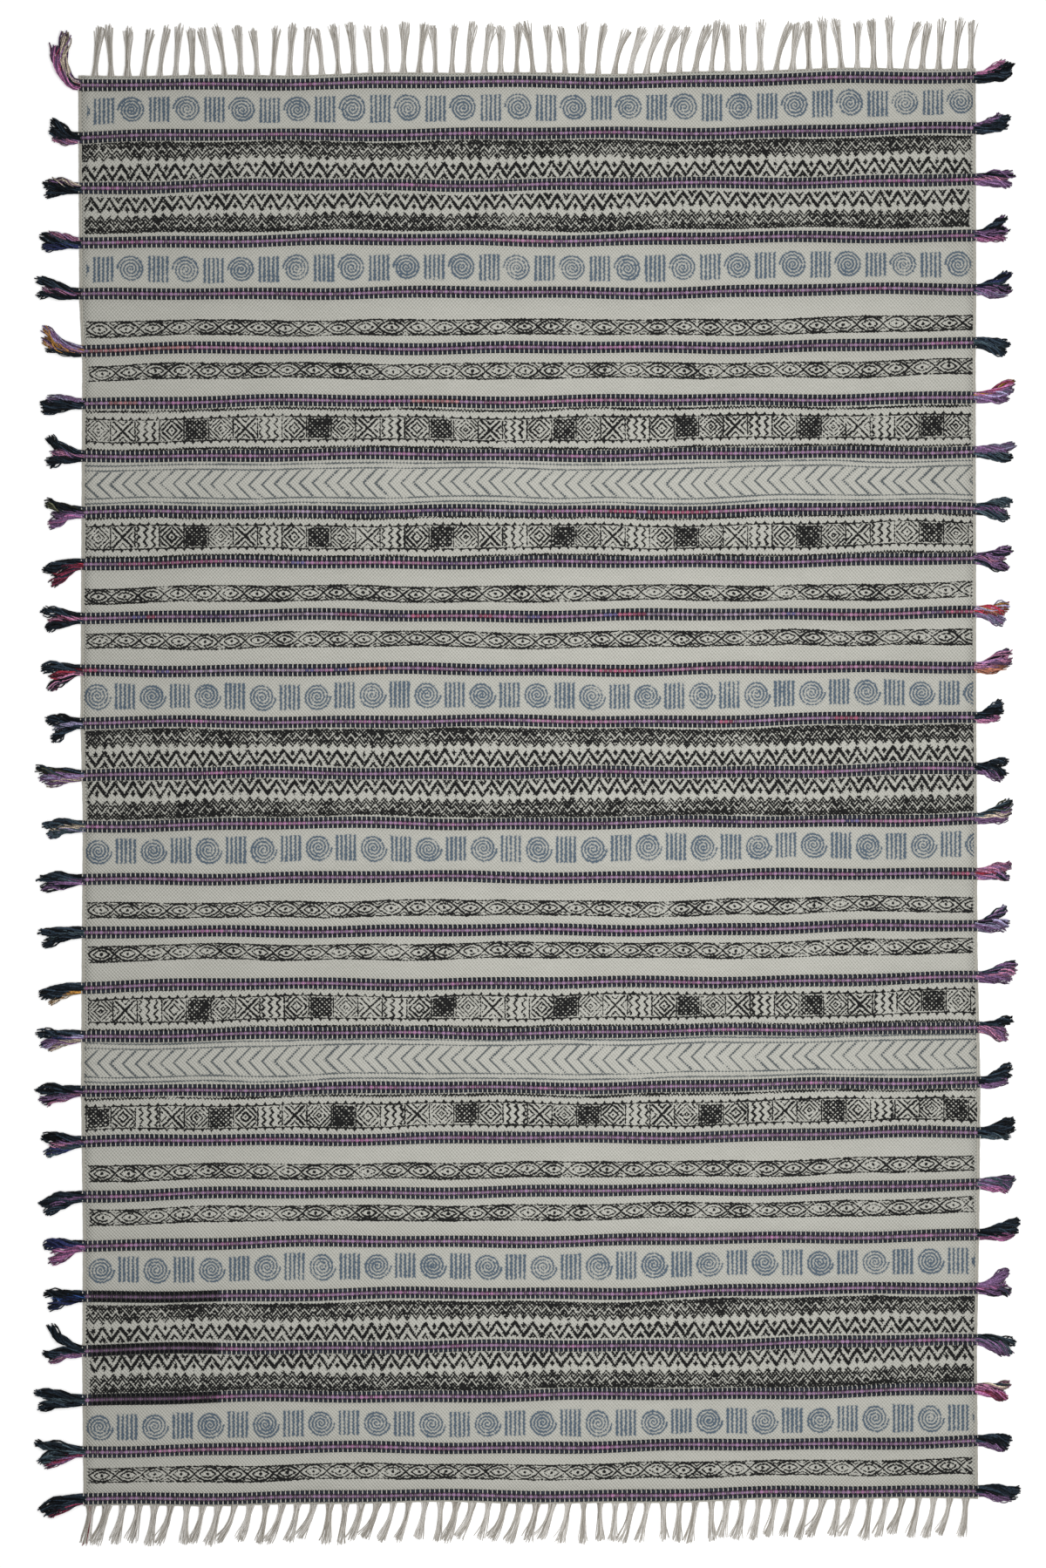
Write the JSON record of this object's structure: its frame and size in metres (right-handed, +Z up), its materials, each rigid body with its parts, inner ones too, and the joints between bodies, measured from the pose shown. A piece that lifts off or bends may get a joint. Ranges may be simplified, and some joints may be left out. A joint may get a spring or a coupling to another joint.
{
  "type": "rectangular fringed flat-weave rug",
  "caption": "Flat-woven cotton floor rug with raised weft bands across it, a yarn tassel at each band's ends and a knotted warp fringe along both short ends.",
  "frame": {"origin": "on the floor, under the middle of the woven cloth", "axes": "+X across the rug, +Y along the warp towards the end with the longer fringe, +Z up"},
  "size_m": [1.6799, 2.6066, 0.0065],
  "materials": {
    "greige_ground": "dry handwoven natural cotton, printed in black and slate blue, with charcoal and purple bands",
    "warp_fringe": "dry natural cotton warp yarn",
    "tassel_yarn": "thick dry charcoal yarn with purple, pink and natural yarn in between"
  },
  "bodies": {
    "root": {"ground_cloth": "greige_ground", "warp_fringe_head": "warp_fringe", "warp_fringe_foot": "warp_fringe", "tassel_left_01": "tassel_yarn", "tassel_left_02": "tassel_yarn", "tassel_left_03": "tassel_yarn", "tassel_left_04": "tassel_yarn", "tassel_left_05": "tassel_yarn", "tassel_left_06": "tassel_yarn", "tassel_left_07": "tassel_yarn", "tassel_left_08": "tassel_yarn", "tassel_left_09": "tassel_yarn", "tassel_left_10": "tassel_yarn", "tassel_left_11": "tassel_yarn", "tassel_left_12": "tassel_yarn", "tassel_left_13": "tassel_yarn", "tassel_left_14": "tassel_yarn", "tassel_left_15": "tassel_yarn", "tassel_left_16": "tassel_yarn", "tassel_left_17": "tassel_yarn", "tassel_left_18": "tassel_yarn", "tassel_left_19": "tassel_yarn", "tassel_left_20": "tassel_yarn", "tassel_left_21": "tassel_yarn", "tassel_left_22": "tassel_yarn", "tassel_left_23": "tassel_yarn", "tassel_left_24": "tassel_yarn", "tassel_left_25": "tassel_yarn", "tassel_left_26": "tassel_yarn", "tassel_left_27": "tassel_yarn", "tassel_left_28": "tassel_yarn", "tassel_right_01": "tassel_yarn", "tassel_right_02": "tassel_yarn", "tassel_right_03": "tassel_yarn", "tassel_right_04": "tassel_yarn", "tassel_right_05": "tassel_yarn", "tassel_right_06": "tassel_yarn", "tassel_right_07": "tassel_yarn", "tassel_right_08": "tassel_yarn", "tassel_right_09": "tassel_yarn", "tassel_right_10": "tassel_yarn", "tassel_right_11": "tassel_yarn", "tassel_right_12": "tassel_yarn", "tassel_right_13": "tassel_yarn", "tassel_right_14": "tassel_yarn", "tassel_right_15": "tassel_yarn", "tassel_right_16": "tassel_yarn", "tassel_right_17": "tassel_yarn", "tassel_right_18": "tassel_yarn", "tassel_right_19": "tassel_yarn", "tassel_right_20": "tassel_yarn", "tassel_right_21": "tassel_yarn", "tassel_right_22": "tassel_yarn", "tassel_right_23": "tassel_yarn", "tassel_right_24": "tassel_yarn", "tassel_right_25": "tassel_yarn", "tassel_right_26": "tassel_yarn", "tassel_right_27": "tassel_yarn", "tassel_right_28": "tassel_yarn"}
  },
  "joints": []
}
